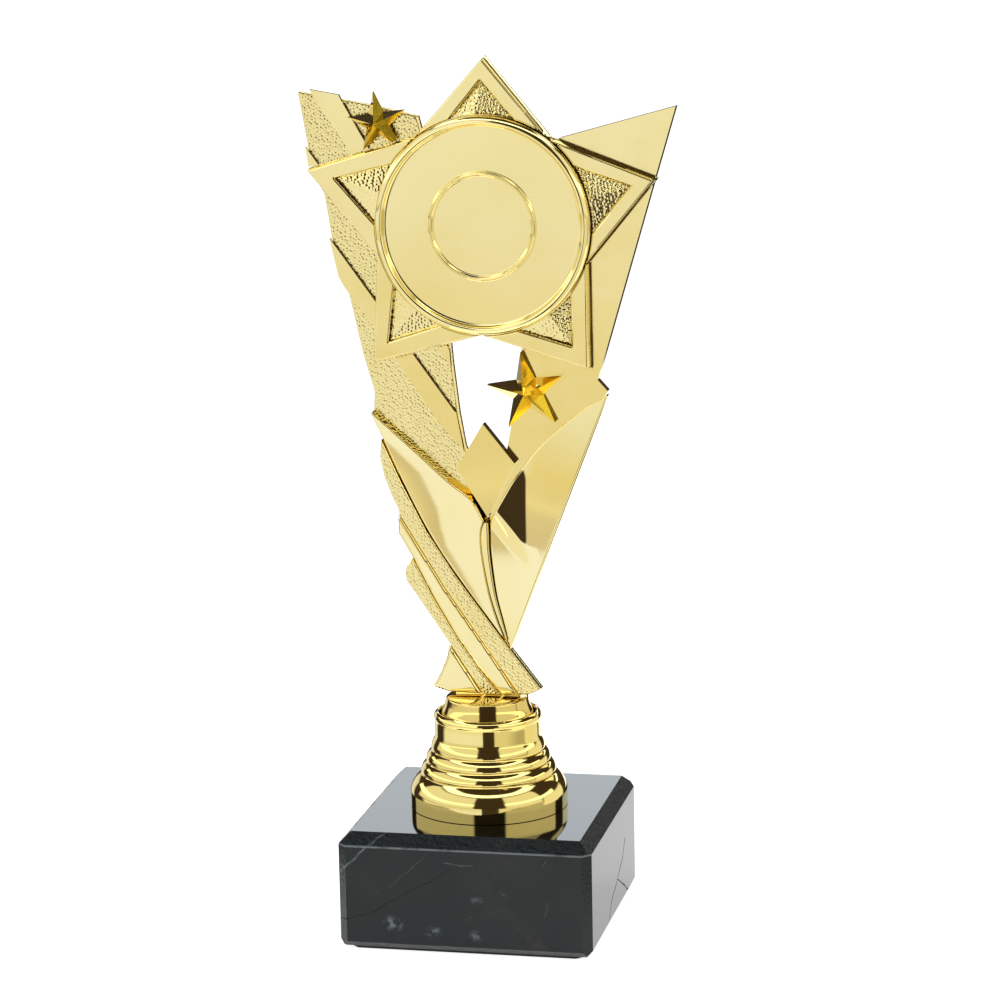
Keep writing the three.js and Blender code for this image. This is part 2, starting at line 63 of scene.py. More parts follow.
def make_camera():
    azimuth = math.radians(CAMERA_AZIMUTH)
    elevation = math.radians(CAMERA_ELEVATION)
    roll = math.radians(CAMERA_ROLL)
    back = Vector((
        math.sin(azimuth) * math.cos(elevation),
        -math.cos(azimuth) * math.cos(elevation),
        math.sin(elevation),
    ))
    level_right = Vector((math.cos(azimuth), math.sin(azimuth), 0))
    level_up = back.cross(level_right)
    right = math.cos(roll) * level_right + math.sin(roll) * level_up
    up = -math.sin(roll) * level_right + math.cos(roll) * level_up
    data = bpy.data.cameras.new("camera")
    data.lens = CAMERA_LENS
    data.sensor_width = SENSOR_WIDTH
    data.clip_start = 0.01
    data.clip_end = 100
    camera = bpy.data.objects.new("camera", data)
    bpy.context.scene.collection.objects.link(camera)
    place = (Vector(CAMERA_TARGET) + back * CAMERA_DISTANCE) * MM
    turn = Matrix((right, up, back)).transposed().to_4x4()
    camera.matrix_world = Matrix.Translation(place) @ turn
    bpy.context.scene.camera = camera


make_camera()

# ---- node helpers ----


class Nodes:
    """Short ways to wire a node tree."""

    def __init__(self, tree):
        self.tree = tree
        tree.nodes.clear()

    def add(self, kind, **values):
        node = self.tree.nodes.new(kind)
        for name, value in values.items():
            setattr(node, name, value)
        return node

    def feed(self, socket, value):
        if isinstance(value, bpy.types.NodeSocket):
            self.tree.links.new(value, socket)
        else:
            socket.default_value = value

    def math(self, operation, *values, clamp=False):
        node = self.add("ShaderNodeMath", operation=operation, use_clamp=clamp)
        for socket, value in zip(node.inputs, values):
            self.feed(socket, value)
        return node.outputs[0]

    def ramp(self, value, low, high, out_low=0.0, out_high=1.0, smooth=True):
        node = self.add("ShaderNodeMapRange")
        node.interpolation_type = "SMOOTHSTEP" if smooth else "LINEAR"
        for socket, v in zip(node.inputs[:5], (value, low, high, out_low, out_high)):
            self.feed(socket, v)
        return node.outputs[0]

    def between(self, value, low, high, soft):
        rise = self.ramp(value, low - soft, low + soft)
        fall = self.ramp(value, high - soft, high + soft, 1.0, 0.0)
        return self.math("MULTIPLY", rise, fall)

    def mix(self, share, a, b, blend="MIX"):
        node = self.add("ShaderNodeMix", data_type="RGBA", blend_type=blend, clamp_result=False)
        for socket, v in zip((node.inputs[0], node.inputs[6], node.inputs[7]), (share, a, b)):
            self.feed(socket, v)
        return node.outputs[2]

    def noise(self, place, scale, detail=3.0, roughness=0.5, distortion=0.0):
        node = self.add("ShaderNodeTexNoise")
        self.feed(node.inputs["Vector"], place)
        node.inputs["Scale"].default_value = scale
        node.inputs["Detail"].default_value = detail
        node.inputs["Roughness"].default_value = roughness
        node.inputs["Distortion"].default_value = distortion
        return node.outputs["Fac"]

    def bump(self, height, strength, distance, normal=None):
        node = self.add("ShaderNodeBump")
        node.inputs["Strength"].default_value = strength
        node.inputs["Distance"].default_value = distance
        self.feed(node.inputs["Height"], height)
        if normal is not None:
            self.feed(node.inputs["Normal"], normal)
        return node.outputs["Normal"]


def new_material(name):
    material = bpy.data.materials.new(name)
    material.use_nodes = True
    n = Nodes(material.node_tree)
    shader = n.add("ShaderNodeBsdfPrincipled")
    output = n.add("ShaderNodeOutputMaterial")
    material.node_tree.links.new(shader.outputs[0], output.inputs["Surface"])
    place = n.add("ShaderNodeTexCoord").outputs["Object"]
    return material, n, shader, place


# ---- materials ----

GOLD = (0.90, 0.75, 0.33, 1)
GOLD_DEEP = (0.87, 0.715, 0.285, 1)
BRASS_TONE = (0.86, 0.69, 0.24, 1)
BRASS_TONE_DEEP = (0.80, 0.62, 0.185, 1)


def gold(name, light, deep, smooth, rough, wave, wave_size=70.0, grain=0.02):
    material, n, shader, place = new_material(name)
    cloud = n.noise(place, 45.0, 4.0)
    n.feed(shader.inputs["Base Color"], n.mix(n.ramp(cloud, 0.3, 0.7), light, deep))
    shader.inputs["Metallic"].default_value = 1.0
    haze = n.noise(place, 160.0, 5.0, 0.6)
    n.feed(shader.inputs["Roughness"], n.ramp(haze, 0.3, 0.75, smooth, rough))
    swell = n.bump(n.noise(place, wave_size, 1.5), wave, 0.001)
    n.feed(shader.inputs["Normal"], n.bump(n.noise(place, 1800.0, 2.0), grain, 0.00005, swell))
    return material


gold_flat = gold("gold_plate", GOLD, GOLD_DEEP, 0.08, 0.14, 0.10)
gold_mirror = gold("gold_mirror", GOLD, GOLD_DEEP, 0.015, 0.03, 0.006, grain=0.006)
gold_dish = gold("gold_dish", GOLD, GOLD_DEEP, 0.03, 0.06, 0.05)
gold_pebble = gold("gold_pebble", GOLD, GOLD_DEEP, 0.10, 0.16, 0.06)
gold_foot = gold("gold_foot", (0.76, 0.58, 0.18, 1), (0.68, 0.50, 0.14, 1), 0.05, 0.09, 0.03)
gold_turned = gold("gold_turned", BRASS_TONE, BRASS_TONE_DEEP, 0.05, 0.09, 0.03)


def make_star_gold():
    """Mirror gold with a painted reflection: deeper yellow and a little less metal on the facets
    that turn to the right or downwards, standing in for the bright light those facets reflect.
    """
    material, n, shader, place = new_material("gold_star")
    facing = n.add("ShaderNodeSeparateXYZ")
    n.feed(facing.inputs[0], n.add("ShaderNodeNewGeometry").outputs["Normal"])
    turned = n.math("SUBTRACT", facing.outputs[0], n.math("MULTIPLY", facing.outputs[2], 0.5))
    deep = n.ramp(turned, -0.05, 0.3)
    cloud = n.ramp(n.noise(place, 60.0, 4.0), 0.3, 0.7)
    plain_gold = n.mix(cloud, GOLD, GOLD_DEEP)
    # Painted reflection: the rich yellow stands in for the light that right- and down-facing facets
    # pick up.
    painted_reflection_gold = n.mix(cloud, (1.0, 0.76, 0.06, 1), (1.0, 0.70, 0.04, 1))
    n.feed(shader.inputs["Base Color"], n.mix(deep, plain_gold, painted_reflection_gold))
    n.feed(shader.inputs["Metallic"], n.ramp(deep, 0.0, 1.0, 1.0, 0.7))
    n.feed(shader.inputs["Roughness"], n.ramp(n.noise(place, 160.0, 5.0), 0.3, 0.75, 0.05, 0.10))
    return material


gold_star = make_star_gold()

# Marks in the stone, millimetres on the face named: [along, up] corners, half width, strength.
FRONT_VEINS = [
    ([(-32.5, 19.6), (-28.5, 23.8), (-24.7, 27.4), (-18.9, 31.6), (-14.0, 36.0)], 0.26, 0.75),
    ([(-18.8, 17.2), (-9.3, 26.0)], 0.12, 0.25),
    ([(-4.7, 24.3), (-1.0, 23.7), (2.5, 23.5)], 0.13, 0.7),
    ([(20.9, 14.8), (21.6, 13.0), (20.8, 11.2)], 0.14, 0.35),
    ([(20.5, 24.6), (21.1, 25.7)], 0.14, 0.5),
]
FRONT_CRACK = [(-32.5, 7.9), (-24.2, 10.1), (-18.9, 13.2), (-12.6, 17.0), (-7.9, 19.3),
               (-2.7, 23.0)]
FRONT_PATCHES = [(-18.3, 7.7, 2.6, 1.0), (-7.7, 5.7, 2.2, 0.9), (3.1, 5.4, 2.0, 0.55),
                 (10.0, 16.3, 1.2, 0.4), (3.3, 14.6, 1.4, 0.4)]
RIGHT_CRACKS = [
    [(15.9, 17.6), (12.0, 13.5), (8.3, 12.0), (4.4, 10.0), (-3.6, 7.2), (-8.2, 3.3)],
    [(4.4, 10.0), (12.0, 6.4), (19.5, 2.4)],
]
HALF_WIDTH = 32.5
CHAMFER_FOOT = 27.4


def make_marble():
    material, n, shader, place = new_material("marble_black")
    drift = n.add("ShaderNodeTexNoise")
    n.feed(drift.inputs["Vector"], place)
    drift.inputs["Scale"].default_value = 260.0
    drift.inputs["Detail"].default_value = 4.0
    bent = n.add("ShaderNodeVectorMath", operation="MULTIPLY_ADD")
    n.feed(bent.inputs[0], drift.outputs["Color"])
    bent.inputs[1].default_value = (0.0016, 0.0016, 0.0016)
    n.feed(bent.inputs[2], place)
    split = n.add("ShaderNodeSeparateXYZ")
    n.feed(split.inputs[0], bent.outputs[0])
    # The warp is 0.8 mm on average in each direction.
    x, y, z = [n.math("SUBTRACT", n.math("DIVIDE", axis, MM), 0.8) for axis in split.outputs]
    front = n.ramp(y, 3.5 - HALF_WIDTH, 2.0 - HALF_WIDTH)
    right = n.ramp(x, HALF_WIDTH - 2.0, HALF_WIDTH - 1.2)

    def line_distance(u, v, corners):
        best = None
        for (au, av), (bu, bv) in zip(corners, corners[1:]):
            du, dv = bu - au, bv - av
            square = du * du + dv * dv
            along_u = n.math("MULTIPLY", n.math("SUBTRACT", u, au), du / square)
            along_v = n.math("MULTIPLY", n.math("SUBTRACT", v, av), dv / square)
            t = n.math("ADD", along_u, along_v, clamp=True)
            gap_u = n.math("SUBTRACT", n.math("SUBTRACT", u, au), n.math("MULTIPLY", t, du))
            gap_v = n.math("SUBTRACT", n.math("SUBTRACT", v, av), n.math("MULTIPLY", t, dv))
            squares = n.math("ADD", n.math("POWER", gap_u, 2.0), n.math("POWER", gap_v, 2.0))
            gap = n.math("SQRT", squares)
            best = gap if best is None else n.math("MINIMUM", best, gap)
        return best

    patch = n.ramp(n.noise(place, 38.0, 5.0, 0.6), 0.45, 0.72)
    base = n.mix(patch, (0.0022, 0.0032, 0.0032, 1), (0.0060, 0.0078, 0.0078, 1))
    brown = n.ramp(n.noise(place, 75.0, 6.0, 0.65, 0.6), 0.54, 0.72)
    base = n.mix(n.math("MULTIPLY", brown, 0.55), base, (0.021, 0.015, 0.012, 1))
    cloudy = n.ramp(n.noise(place, 700.0, 4.0, 0.6), 0.35, 0.65, 0.35, 1.0)
    pale = (0.115, 0.135, 0.138, 1)
    for corners, half, strength in FRONT_VEINS:
        line = n.ramp(line_distance(x, z, corners), half * 0.4, half * 1.4, strength, 0.0)
        base = n.mix(n.math("MULTIPLY", n.math("MULTIPLY", line, cloudy), front), base, pale)
    ragged = n.ramp(n.noise(place, 420.0, 5.0, 0.7), 0.44, 0.6)
    for centre_x, centre_z, reach, strength in FRONT_PATCHES:
        spot = n.ramp(line_distance(x, z, [(centre_x - 0.6, centre_z), (centre_x + 0.6, centre_z)]),
                      0.0, reach, strength, 0.0)
        base = n.mix(n.math("MULTIPLY", n.math("MULTIPLY", spot, ragged), front), base, pale)
    fleck = n.ramp(n.noise(place, 300.0, 3.0, 0.6), 0.72, 0.8, 0.0, 0.35)
    base = n.mix(fleck, base, pale)
    crack = n.ramp(line_distance(x, z, FRONT_CRACK), 0.05, 0.13, 1.0, 0.0)
    cracks = n.math("MULTIPLY", crack, front)
    for corners in RIGHT_CRACKS:
        line = n.ramp(line_distance(y, z, corners), 0.1, 0.3, 1.0, 0.0)
        cracks = n.math("MAXIMUM", cracks, n.math("MULTIPLY", line, right))
    base = n.mix(cracks, base, (0.0008, 0.0008, 0.0008, 1))
    facing = n.add("ShaderNodeSeparateXYZ")
    n.feed(facing.inputs[0], n.add("ShaderNodeNewGeometry").outputs["Normal"])
    # A painted highlight: the lower edge of the front chamfer gets a pale line that stands in for
    # the light its rounded edge reflects.
    level = n.add("ShaderNodeSeparateXYZ")
    n.feed(level.inputs[0], place)
    height = n.math("DIVIDE", level.outputs[2], MM)
    painted_edge_highlight = n.between(height, CHAMFER_FOOT - 0.25, CHAMFER_FOOT + 0.2, 0.1)
    painted_edge_highlight = n.math("MULTIPLY", painted_edge_highlight, front)
    painted_edge_highlight = n.math("MULTIPLY", painted_edge_highlight, n.ramp(n.noise(place, 240.0, 3.0), 0.3, 0.6, 0.35, 0.9))
    base = n.mix(painted_edge_highlight, base, (0.15, 0.17, 0.17, 1))
    n.feed(shader.inputs["Base Color"], base)
    nx, ny, nz = [n.math("ABSOLUTE", axis) for axis in facing.outputs]
    square_on = n.math("MAXIMUM", nz, n.math("MAXIMUM", nx, ny))
    sawn = n.ramp(square_on, 0.80, 0.90, 1.0, 0.0)
    rough = n.ramp(n.noise(place, 220.0, 6.0, 0.7), 0.3, 0.7, 0.10, 0.24)
    open_line = n.math("MULTIPLY", cracks, 0.6)
    n.feed(shader.inputs["Roughness"],
           n.math("ADD", n.math("ADD", n.math("MULTIPLY", sawn, rough), 0.05), open_line))
    chip = n.noise(place, 900.0, 4.0, 0.7)
    dent = n.math("SUBTRACT", n.math("MULTIPLY", chip, sawn), n.math("MULTIPLY", cracks, 2.0))
    n.feed(shader.inputs["Normal"], n.bump(dent, 0.5, 0.0003))
    n.feed(shader.inputs["Specular Tint"], n.mix(patch, (0.92, 1.0, 0.99, 1), (0.95, 1.0, 0.98, 1)))
    shader.inputs["IOR"].default_value = 1.37
    return material


def make_felt():
    material, n, shader, place = new_material("felt_black")
    fibre = n.noise(place, 2500.0, 6.0, 0.7)
    dyed = n.mix(fibre, (0.008, 0.008, 0.009, 1), (0.03, 0.03, 0.032, 1))
    n.feed(shader.inputs["Base Color"], dyed)
    shader.inputs["Roughness"].default_value = 0.95
    n.feed(shader.inputs["Normal"], n.bump(fibre, 0.6, 0.0002))
    return material


def make_metal(name, light, deep, rough):
    material, n, shader, place = new_material(name)
    stretched = n.add("ShaderNodeMapping")
    stretched.inputs["Scale"].default_value = (1, 1, 14)
    n.feed(stretched.inputs["Vector"], place)
    brushed = n.noise(stretched.outputs[0], 500.0, 5.0, 0.6)
    n.feed(shader.inputs["Base Color"], n.mix(brushed, light, deep))
    shader.inputs["Metallic"].default_value = 1.0
    n.feed(shader.inputs["Roughness"], n.ramp(brushed, 0.3, 0.7, rough, rough + 0.15))
    n.feed(shader.inputs["Normal"], n.bump(brushed, 0.15, 0.0001))
    return material


marble = make_marble()
felt = make_felt()
steel = make_metal("steel_zinc", (0.56, 0.58, 0.60, 1), (0.42, 0.44, 0.46, 1), 0.3)
brass = make_metal("brass_insert", (0.72, 0.50, 0.20, 1), (0.58, 0.39, 0.14, 1), 0.3)

# ---- carried-over nodes ----


def dress(name, material, bevel=0.0, segments=2):
    """A CAD node keeps its shape, takes a material, and may get softened edges."""
    node = nodes[name]
    node.data.materials.clear()
    node.data.materials.append(material)
    if bevel:
        modifier = node.modifiers.new("edges", "BEVEL")
        modifier.width = bevel * MM
        modifier.segments = segments
        modifier.limit_method = "ANGLE"
        modifier.angle_limit = math.radians(28)
        modifier.harden_normals = True
        modifier.use_clamp_overlap = True
    return node


dress("felt_pad", felt)
dress("marble_base", marble, 0.45, 4)
dress("penny_washer", steel, 0.2)
dress("hex_nut", steel, 0.25)
dress("tie_rod", steel)
dress("threaded_insert", brass)
dress("core_plate", gold_flat, 0.2)
dress("wing_right", gold_flat, 0.45, 3)
dress("diamond_plate", gold_mirror, 0.75, 5)
dress("small_star_upper", gold_star, 0.12)
dress("small_star_lower", gold_star, 0.15)
for name in nodes:
    if name.startswith("ribbon_"):
        dress(name, gold_flat, 0.35, 3)

# ---- mesh helpers ----

PEBBLE_PITCH = 0.86
# Shares of the pitch: radius of a bump, how far it strays, and the spread of sizes.
PEBBLE_REACH = 0.56
PEBBLE_STRAY = 0.27
PEBBLE_SIZES = (0.82, 1.08)
# Height of an equilateral triangle, which is the step between the rows of a honeycomb.
ROW_STEP = 0.866
PLATE_ROUNDING = 0.25
PLATE_SHARP = 60.0
LOFT_ROUNDING = 0.3


def piece(name, node, material, verts, faces, sharp=50.0):
    """A new closed piece that stands for a CAD node. Corners in millimetres."""
    mesh = bpy.data.meshes.new(name)
    mesh.from_pydata((np.asarray(verts, float) * MM).tolist(), [], faces)
    shape = bmesh.new()
    shape.from_mesh(mesh)
    bmesh.ops.remove_doubles(shape, verts=shape.verts, dist=1e-7)
    bmesh.ops.recalc_face_normals(shape, faces=shape.faces)
    shape.to_mesh(mesh)
    shape.free()
    mesh.polygons.foreach_set("use_smooth", [True] * len(mesh.polygons))
    mesh.set_sharp_from_angle(angle=math.radians(sharp))
    mesh.materials.append(material)
    obj = bpy.data.objects.new(name, mesh)
    bpy.context.scene.collection.objects.link(obj)
    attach(obj, "root")
    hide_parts(node)
    return obj


def front_outline(node):
    """The outline of a flat CAD plate seen from the front, as [x, z] corners in order."""
    mesh = nodes[node].data
    low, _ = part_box(node)
    at = {}
    edges = {}
    for polygon in mesh.polygons:
        corners = [mesh.vertices[i].co for i in polygon.vertices]
        if max(c.y for c in corners) > low.y + 1e-5:
            continue
        keys = [(round(c.x / MM, 3), round(c.z / MM, 3)) for c in corners]
        for a, b in zip(keys, keys[1:] + keys[:1]):
            if (b, a) in edges:
                del edges[(b, a)]
            else:
                edges[(a, b)] = True
    for a, b in edges:
        at[a] = b
    start = next(iter(at))
    ring = [start]
    while at[ring[-1]] != start:
        ring.append(at[ring[-1]])
    return np.array(ring)


def resample(ring, spacing):
    """The ring with extra points, about evenly spaced along each side."""
    points = []
    for a, b in zip(ring, np.roll(ring, -1, axis=0)):
        count = max(1, int(round(np.linalg.norm(b - a) / spacing)))
        points.extend(a + (b - a) * i / count for i in range(count))
    return np.array(points)


def edge_distance(points, ring):
    """How far each point is from the nearest side of the ring."""
    best = np.full(len(points), 1e9)
    for a, b in zip(ring, np.roll(ring, -1, axis=0)):
        d = b - a
        t = np.clip(((points - a) @ d) / max(d @ d, 1e-12), 0, 1)
        best = np.minimum(best, np.linalg.norm(points - (a + t[:, None] * d), axis=1))
    return best


def inside(points, ring):
    """Whether each point is inside the ring, by the sides that a line to the left crosses."""
    x, z = points[:, 0], points[:, 1]
    result = np.zeros(len(points), bool)
    for a, b in zip(ring, np.roll(ring, -1, axis=0)):
        crosses = (a[1] > z) != (b[1] > z)
        with np.errstate(divide="ignore", invalid="ignore"):
            at = (b[0] - a[0]) * (z - a[1]) / (b[1] - a[1]) + a[0]
        result ^= crosses & (x < at)
    return result


def pebbles(points, pitch, seed):
    """Rounded bumps in a loose honeycomb: 1 on top of a bump, 0 in the creases."""
    random = np.random.RandomState(seed)
    turn = 0.3 + 0.1 * (seed % 5)
    cos, sin = math.cos(turn), math.sin(turn)
    points = points @ np.array([[cos, -sin], [sin, cos]])
    low = points.min(0) - 3 * pitch
    rows = int((np.ptp(points[:, 1]) + 6 * pitch) / (pitch * ROW_STEP)) + 3
    columns = int((np.ptp(points[:, 0]) + 6 * pitch) / pitch) + 3
    jitter = random.uniform(-PEBBLE_STRAY, PEBBLE_STRAY, (rows, columns, 2)) * pitch
    size = random.uniform(*PEBBLE_SIZES, (rows, columns))
    row = ((points[:, 1] - low[1]) / (pitch * ROW_STEP)).astype(int)
    best = np.full(len(points), 9.0)
    for dj in (-1, 0, 1, 2):
        j = np.clip(row + dj, 0, rows - 1)
        shift = (j % 2) * 0.5 * pitch
        column = ((points[:, 0] - low[0] - shift) / pitch).astype(int)
        for di in (-1, 0, 1, 2):
            i = np.clip(column + di, 0, columns - 1)
            cx = low[0] + i * pitch + shift + jitter[j, i, 0]
            cz = low[1] + j * pitch * ROW_STEP + jitter[j, i, 1]
            best = np.minimum(best, np.hypot(points[:, 0] - cx, points[:, 1] - cz) / size[j, i])
    return 1 - np.minimum(1, best / (PEBBLE_REACH * pitch)) ** 2


def honeycomb(ring, spacing):
    """Points inside the ring in a honeycomb, clear of its edge."""
    xs = np.arange(ring[:, 0].min(), ring[:, 0].max(), spacing)
    zs = np.arange(ring[:, 1].min(), ring[:, 1].max(), spacing * ROW_STEP)
    gx, gz = np.meshgrid(xs, zs)
    gx = gx + (np.arange(len(zs)) % 2)[:, None] * spacing / 2
    grid = np.stack([gx.ravel(), gz.ravel()], axis=1)
    grid = grid[inside(grid, ring)]
    return grid[edge_distance(grid, ring) > spacing * 0.55]


def rounding(distance, radius):
    """How far a rounded edge has dropped back at a distance in from the side."""
    near = np.clip(radius - distance, 0, radius)
    return radius - np.sqrt(np.maximum(radius * radius - near * near, 0))


def relief_front(ring, relief, spacing, front, edge=0.0, covered=None):
    """Triangles over the ring, each point standing out from the front by relief(points,
    distance to the edge). Where another part covers the plate the triangles are large."""
    rim = resample(ring, spacing)
    grid = honeycomb(ring, spacing)
    if covered is not None:
        coarse = honeycomb(ring, spacing * 8)
        grid = np.concatenate([grid[~inside(grid, covered)], coarse[inside(coarse, covered)]])
    flat = [Vector(p) for p in np.concatenate([rim, grid])]
    result = delaunay_2d_cdt(flat, [], [list(range(len(rim)))], 1, 1e-5)
    points = np.array([tuple(v) for v in result[0]])
    faces = [list(f) for f in result[2]]
    distance = edge_distance(points, ring)
    drop = rounding(distance, edge) if edge else np.zeros(len(points))
    height = relief(points, distance)
    if covered is not None:
        height = np.where(inside(points, covered), 0, height)
    verts = np.stack([points[:, 0], front + drop - height, points[:, 1]], axis=1)
    return verts.tolist(), faces


def relief_plate(name, node, material, relief, spacing, covered=None):
    """A plate with the CAD node's outline and back, and a front that relief() shapes."""
    ring = front_outline(node)
    low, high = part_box(node)
    front, back = low.y / MM, high.y / MM
    verts, faces = relief_front(ring, relief, spacing, front, PLATE_ROUNDING, covered)
    return close_back(name, node, material, verts, faces, back, PLATE_SHARP)


def close_back(name, node, material, verts, faces, back, sharp, floor=0.0):
    """Adds side walls and a flat back to an open front surface. A hole in the front becomes
    a pocket with its floor at the given depth."""
    seen = set()
    for face in faces:
        for a, b in zip(face, face[1:] + face[:1]):
            if (b, a) in seen:
                seen.remove((b, a))
            else:
                seen.add((a, b))
    follow = dict(seen)
    loops = []
    while follow:
        loop = [min(follow)]
        while follow[loop[-1]] != loop[0]:
            loop.append(follow[loop[-1]])
        for k in loop:
            del follow[k]
        loops.append(loop)
    loops.sort(key=lambda loop: -np.ptp([verts[i][0] for i in loop]))
    verts = list(verts)
    faces = list(faces)
    for order, loop in enumerate(loops):
        depth = back if order == 0 else floor
        first = len(verts)
        verts += [[verts[i][0], depth, verts[i][2]] for i in loop]
        count = len(loop)
        for k in range(count):
            n = (k + 1) % count
            faces.append([loop[n], loop[k], first + k, first + n])
        cap = delaunay_2d_cdt(
            [Vector((verts[first + k][0], verts[first + k][2])) for k in range(count)],
            [], [list(range(count))], 1, 1e-6,
        )
        for face in cap[2]:
            faces.append([first + cap[3][i][0] for i in reversed(face)])
    return piece(name, node, material, verts, faces, sharp)


def smooth_path(points, steps=12):
    """A Catmull-Rom curve through [a, b] points."""
    points = np.asarray(points, float)
    padded = np.vstack([2 * points[0] - points[1], points, 2 * points[-1] - points[-2]])
    out = []
    for i in range(1, len(padded) - 2):
        p0, p1, p2, p3 = padded[i - 1:i + 3]
        for s in range(steps):
            t = s / steps
            out.append(0.5 * (2 * p1 + (p2 - p0) * t + (2 * p0 - 5 * p1 + 4 * p2 - p3) * t * t
                              + (3 * p1 - p0 - 3 * p2 + p3) * t ** 3))
    out.append(points[-1])
    return np.array(out)


def lathe(name, node, material, profile, centre=None, segments=256, sharp=40.0):
    """A turned piece from a closed [radius, along] profile: about Z, or about Y through centre."""
    profile = [tuple(p) for p in profile]
    verts = []
    rows = []
    for radius, along in profile:
        count = 1 if radius < 1e-6 else segments
        row = []
        for k in range(count):
            angle = 2 * math.pi * k / segments
            a, b = radius * math.cos(angle), radius * math.sin(angle)
            row.append(len(verts))
            if centre is None:
                verts.append((a, b, along))
            else:
                verts.append((centre[0] + a, along, centre[1] + b))
        rows.append(row)
    faces = []
    for row, following in zip(rows, rows[1:] + rows[:1]):
        if len(row) == 1 and len(following) == 1:
            continue
        for k in range(segments):
            n = (k + 1) % segments
            if len(row) == 1:
                faces.append([row[0], following[k], following[n]])
            elif len(following) == 1:
                faces.append([row[k], following[0], row[n]])
            else:
                faces.append([row[k], following[k], following[n], row[n]])
    return piece(name, node, material, verts, faces, sharp)


def loft(name, node, material, edge_a, edge_b, depth, back, along=160, across=40,
         draft=(0.0, 0.0)):
    """A leaf between two edge lines, with a front at depth(u, v, x, z): u runs along the
    edges and v from edge_a to edge_b. The side under edge_b may flare out by the draft."""
    def spaced(line, count):
        line = np.asarray(line, float)
        lengths = np.concatenate([[0], np.cumsum(np.linalg.norm(np.diff(line, axis=0), axis=1))])
        at = np.linspace(0, lengths[-1], count)
        return np.stack([np.interp(at, lengths, line[:, k]) for k in (0, 1)], axis=1)

    a = spaced(edge_a, along + 1)
    b = spaced(edge_b, along + 1)
    t = np.linspace(0, 1, across + 1)
    # The columns stand closer together near both edges.
    v = 0.6 * (0.5 - 0.5 * np.cos(np.pi * t)) + 0.4 * t
    u = np.linspace(0, 1, along + 1)
    x = a[:, None, 0] * (1 - v) + b[:, None, 0] * v
    z = a[:, None, 1] * (1 - v) + b[:, None, 1] * v
    width = np.linalg.norm(b - a, axis=1)[:, None]
    uu, vv = np.broadcast_arrays(u[:, None], v[None, :])
    y = depth(uu, vv, x, z)
    nearest = np.minimum(vv, 1 - vv) * width
    y = y + rounding(nearest, LOFT_ROUNDING)
    verts = np.stack([x, y, z], axis=2).reshape(-1, 3).tolist()
    row = across + 1
    size = len(verts)
    under = [[p[0], back, p[2]] for p in verts]
    for k in range(across, size, row):
        under[k][0] += draft[0]
        under[k][2] += draft[1]
    verts += under
    faces = []
    for i in range(along):
        for j in range(across):
            k = i * row + j
            faces.append([k, k + 1, k + row + 1, k + row])
            faces.append([size + k, size + k + row, size + k + row + 1, size + k + 1])
        left, right = i * row, i * row + across
        faces.append([left, left + row, size + left + row, size + left])
        faces.append([right, size + right, size + right + row, right + row])
    for j in range(across):
        end = along * row + j
        faces.append([j, size + j, size + j + 1, j + 1])
        faces.append([end, end + 1, size + end + 1, size + end])
    return piece(name, node, material, verts, faces)


# ---- riser and foot, as closed [radius, height] profiles ----

BLOCK_TOP = 30.5
RIM_TOP = 55.4
# Each roll from its crease at the bottom up to the crease above it.
ROLLS = [
    [(20.25, 34.0), (20.2, 34.8), (19.95, 35.8), (19.5, 36.8), (18.85, 37.8), (18.1, 38.6),
     (17.4, 39.15)],
    [(17.3, 39.3), (17.45, 39.8), (17.4, 40.4), (17.1, 41.1), (16.6, 41.75), (16.0, 42.25)],
    [(15.9, 42.4), (16.05, 42.9), (15.98, 43.5), (15.7, 44.2), (15.2, 44.85), (14.65, 45.3)],
    [(14.55, 45.45), (14.7, 45.9), (14.65, 46.5), (14.45, 47.2), (14.15, 47.9), (13.85, 48.5)],
]


def curve(points, steps=8):
    return [tuple(p) for p in smooth_path(points, steps)]


def riser_profile():
    out = [(20.1, BLOCK_TOP), (20.25, BLOCK_TOP + 0.15), (20.25, 31.2), (20.25, 33.0)]
    for roll in ROLLS:
        out += curve(roll)
    out += curve([(13.78, 48.7), (13.7, 49.2), (13.68, 50.0)], 4)
    out += [(13.68, 52.0), (13.68, 53.0)]
    out += curve([(13.7, 53.2), (13.82, 53.6), (13.86, 54.1), (13.65, 54.75), (13.15, 55.25),
                  (12.8, RIM_TOP), (12.5, 55.25), (12.4, 54.9)], 5)
    out += [(12.4, 48.0), (3.5, 48.0), (3.5, 46.0), (12.0, 46.0), (13.6, 43.0), (15.4, 38.5),
            (18.2, 35.0), (18.2, BLOCK_TOP)]
    return out


lathe("riser", "bell_riser", gold_turned, riser_profile(), sharp=42)

foot = [(0, 56.4), (5.7, 56.4), (5.7, 54.4), (4.5, 54.4), (4.5, 48.0), (11.4, 48.0),
        (12.0, 48.6), (12.0, 54.0)]
foot += curve([(12.0, 54.4), (11.75, 55.2), (11.35, 56.1), (11.0, 57.0), (10.75, 58.0),
               (10.6, 58.7)])
foot += [(10.5, 58.95), (10.3, 59.12), (10.0, 59.2), (6.0, 59.2), (0, 59.2)]
lathe("foot", "figure_foot", gold_foot, foot, sharp=42)

# ---- emblem holder ----

HOLDER = (2.1, 180.7)
HOLDER_RADIUS = 27.4
SEAT_50 = 25.4
SEAT_25 = 12.6
RIM_FRONT = -5.9
SEAT_FRONT = -4.6
WEB_FRONT = -0.5


